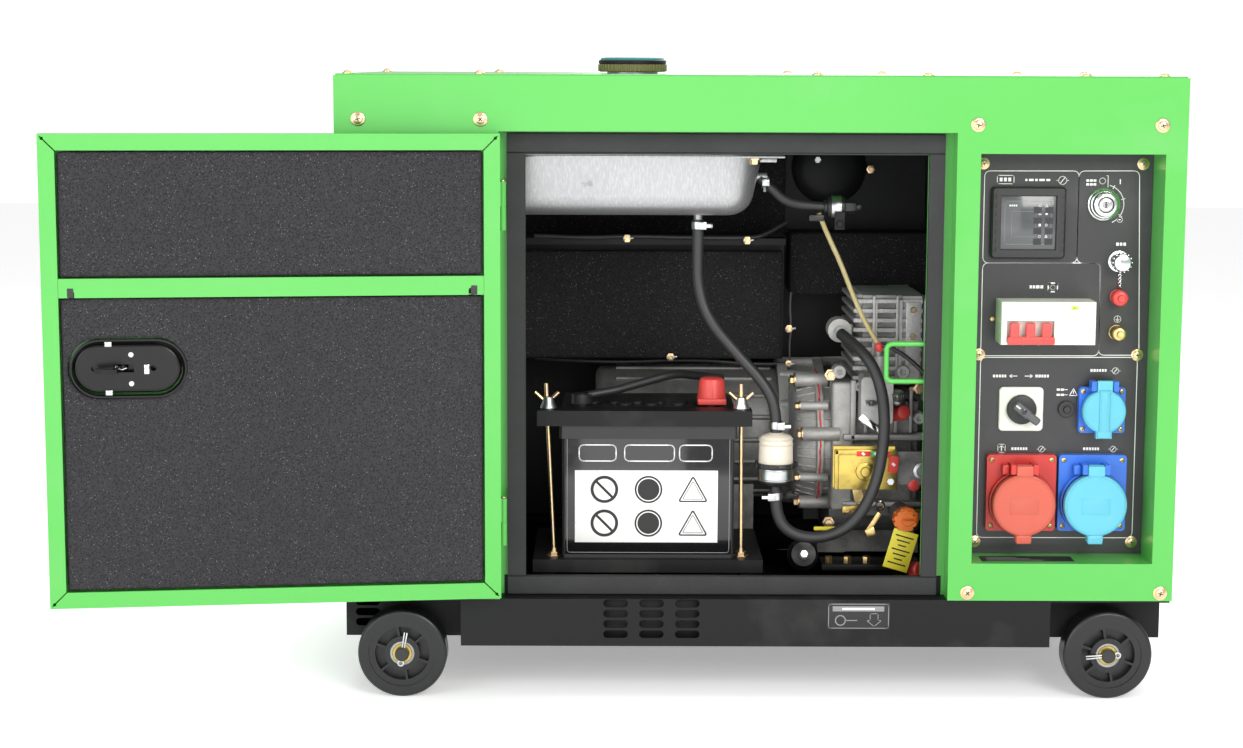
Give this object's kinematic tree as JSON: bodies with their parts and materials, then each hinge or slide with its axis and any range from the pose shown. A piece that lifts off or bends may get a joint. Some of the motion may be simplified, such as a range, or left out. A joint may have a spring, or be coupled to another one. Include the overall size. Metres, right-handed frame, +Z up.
{
  "type": "home standby generator",
  "caption": "Sheet-steel cabinet standby generator on four wheels, with a hinged service door, a recessed control panel with sockets, and an engine, tank and battery inside.",
  "frame": {"origin": "on the floor under the middle of the cabinet's footprint, between the four wheels", "axes": "+Z up, +X along the cabinet towards the control panel's end, -Y out of the front, where the service door is"},
  "size_m": [1.2722, 0.6476, 0.729],
  "materials": {
    "cabinet_green": "glossy powder coat",
    "base_black": "satin powder coat",
    "panel_black": "satin paint",
    "charcoal_foam": "open-cell foam",
    "sponge_rubber": "sponge rubber",
    "hose_rubber": "smooth rubber",
    "clear_hose": "yellowed clear tube",
    "wheel_black": "moulded rubber and plastic",
    "bright_zinc": "bright zinc",
    "yellow_zinc": "yellow passivated zinc",
    "tank_steel": "silver paint over drawn steel",
    "dark_steel": "heat-resisting paint",
    "chrome": "polished",
    "brass": "plain",
    "cast_alloy": "as cast",
    "iron": "machined",
    "gloss_black": "gloss",
    "battery_black": "moulded",
    "dark_plastic": "moulded",
    "white_plastic": "moulded",
    "red_plastic": "moulded",
    "blue_plastic": "moulded",
    "olive_plastic": "moulded",
    "orange_plastic": "moulded"
  },
  "bodies": {
    "cabinet": {"base_pan": "base_black", "axles": "bright_zinc", "front_frame": "cabinet_green", "latch_striker": "cabinet_green", "door_seal": "sponge_rubber", "left_side_panel": "cabinet_green", "right_side_panel": "cabinet_green", "rear_panel": "cabinet_green", "rear_hatch": "cabinet_green", "top_cover": "cabinet_green", "cabinet_fixings": "yellow_zinc", "control_panel": "panel_black", "controller": "dark_plastic", "key_switch": "chrome", "panel_terminals": "chrome", "breaker": "white_plastic", "selector_plate": "white_plastic", "reset_guard": "dark_plastic", "three_phase_socket": "red_plastic", "one_phase_socket": "blue_plastic", "household_socket": "blue_plastic", "inner_baffles": "base_black", "bay_foam": "charcoal_foam", "fuel_tank": "tank_steel", "fuel_hoses": "hose_rubber", "return_hose": "clear_hose", "fuel_filter": "white_plastic", "battery_mount": "base_black", "battery": "battery_black", "battery_rods": "yellow_zinc", "terminal_cover": "red_plastic", "battery_cable": "hose_rubber", "crankcase": "cast_alloy", "bell_housing": "cast_alloy", "alternator_housing": "cast_alloy", "cylinder": "cast_alloy", "silencer": "dark_steel", "air_cleaner": "dark_plastic", "speed_plate": "yellow_zinc", "injection_pump": "cast_alloy"},
    "door": {"door_shell": "cabinet_green", "door_foam_upper": "charcoal_foam", "door_foam_lower": "charcoal_foam", "latch_pocket": "gloss_black"},
    "door_handle": {"latch_handle": "gloss_black"},
    "wheel_front_left": {"wheel_front_left": "wheel_black"},
    "wheel_front_right": {"wheel_front_right": "wheel_black"},
    "wheel_rear_left": {"wheel_rear_left": "wheel_black"},
    "wheel_rear_right": {"wheel_rear_right": "wheel_black"},
    "key": {"key_barrel": "chrome"},
    "breaker_lever": {"breaker_toggle": "red_plastic"},
    "selector": {"selector_knob": "dark_plastic"},
    "reset": {"reset_button": "dark_plastic"},
    "three_phase_flap": {"three_phase_lid": "red_plastic"},
    "one_phase_flap": {"one_phase_lid": "blue_plastic"},
    "household_flap": {"household_lid": "blue_plastic"},
    "fuel_cap": {"fuel_cap": "olive_plastic"},
    "throttle": {"throttle_lever": "brass"},
    "dipstick": {"dipstick": "orange_plastic"},
    "shaft": {"crankshaft": "iron"}
  },
  "joints": [
    {"name": "door_hinge", "type": "hinge", "parent": "cabinet", "child": "door", "pos_m": [-0.2875, -0.27, 0], "axis": [0, 0, 1], "range_deg": [-4, 173]},
    {"name": "handle_pivot", "type": "hinge", "parent": "door", "child": "door_handle", "pos_m": [-0.70278, -0.33006, 0.388], "axis": [0, 0, 1], "range_deg": [0, 32], "stiffness_Nm_per_rad": 0.3, "springref_deg": -22.92},
    {"name": "wheel_front_left_spin", "type": "hinge", "parent": "cabinet", "child": "wheel_front_left", "pos_m": [-0.404, -0.254, 0.051], "axis": [0, 1, 0], "continuous": true},
    {"name": "wheel_front_right_spin", "type": "hinge", "parent": "cabinet", "child": "wheel_front_right", "pos_m": [0.404, -0.254, 0.051], "axis": [0, 1, 0], "continuous": true},
    {"name": "wheel_rear_left_spin", "type": "hinge", "parent": "cabinet", "child": "wheel_rear_left", "pos_m": [-0.404, 0.254, 0.051], "axis": [0, 1, 0], "continuous": true},
    {"name": "wheel_rear_right_spin", "type": "hinge", "parent": "cabinet", "child": "wheel_rear_right", "pos_m": [0.404, 0.254, 0.051], "axis": [0, 1, 0], "continuous": true},
    {"name": "key_turn", "type": "hinge", "parent": "cabinet", "child": "key", "pos_m": [0.395, -0.226, 0.564], "axis": [0, 1, 0], "range_deg": [0, 60]},
    {"name": "breaker_flip", "type": "hinge", "parent": "cabinet", "child": "breaker_lever", "pos_m": [0.301, -0.2495, 0.4215], "axis": [-1, 0, 0], "range_deg": [0, 45]},
    {"name": "selector_turn", "type": "hinge", "parent": "cabinet", "child": "selector", "pos_m": [0.3065, -0.23, 0.328], "axis": [0, 1, 0], "range_deg": [-90, 0]},
    {"name": "reset_push", "type": "slide", "parent": "cabinet", "child": "reset", "axis": [0, 1, 0], "range_m": [0, 0.003], "stiffness_N_per_m": 300, "springref_m": -0.002},
    {"name": "three_phase_flap_hinge", "type": "hinge", "parent": "cabinet", "child": "three_phase_flap", "pos_m": [0.3075, -0.243, 0.264], "axis": [-1, 0, 0], "range_deg": [0, 100], "stiffness_Nm_per_rad": 0.03, "springref_deg": -68.75},
    {"name": "one_phase_flap_hinge", "type": "hinge", "parent": "cabinet", "child": "one_phase_flap", "pos_m": [0.3895, -0.243, 0.264], "axis": [-1, 0, 0], "range_deg": [0, 100], "stiffness_Nm_per_rad": 0.03, "springref_deg": -68.75},
    {"name": "household_flap_hinge", "type": "hinge", "parent": "cabinet", "child": "household_flap", "pos_m": [0.3985, -0.233, 0.359], "axis": [-1, 0, 0], "range_deg": [0, 100], "stiffness_Nm_per_rad": 0.012, "springref_deg": -68.75},
    {"name": "fuel_cap_lift", "type": "slide", "parent": "cabinet", "child": "fuel_cap", "axis": [0, 0, 1], "range_m": [0, 0.06]},
    {"name": "throttle_turn", "type": "hinge", "parent": "cabinet", "child": "throttle", "pos_m": [0.122, -0.145, 0.24], "axis": [0, 1, 0], "range_deg": [-20, 20]},
    {"name": "dipstick_pull", "type": "slide", "parent": "cabinet", "child": "dipstick", "axis": [0, -1, 0], "range_m": [0, 0.06]},
    {"name": "shaft_spin", "type": "hinge", "parent": "cabinet", "child": "shaft", "pos_m": [0, 0.075, 0.257], "axis": [1, 0, 0], "continuous": true}
  ]
}
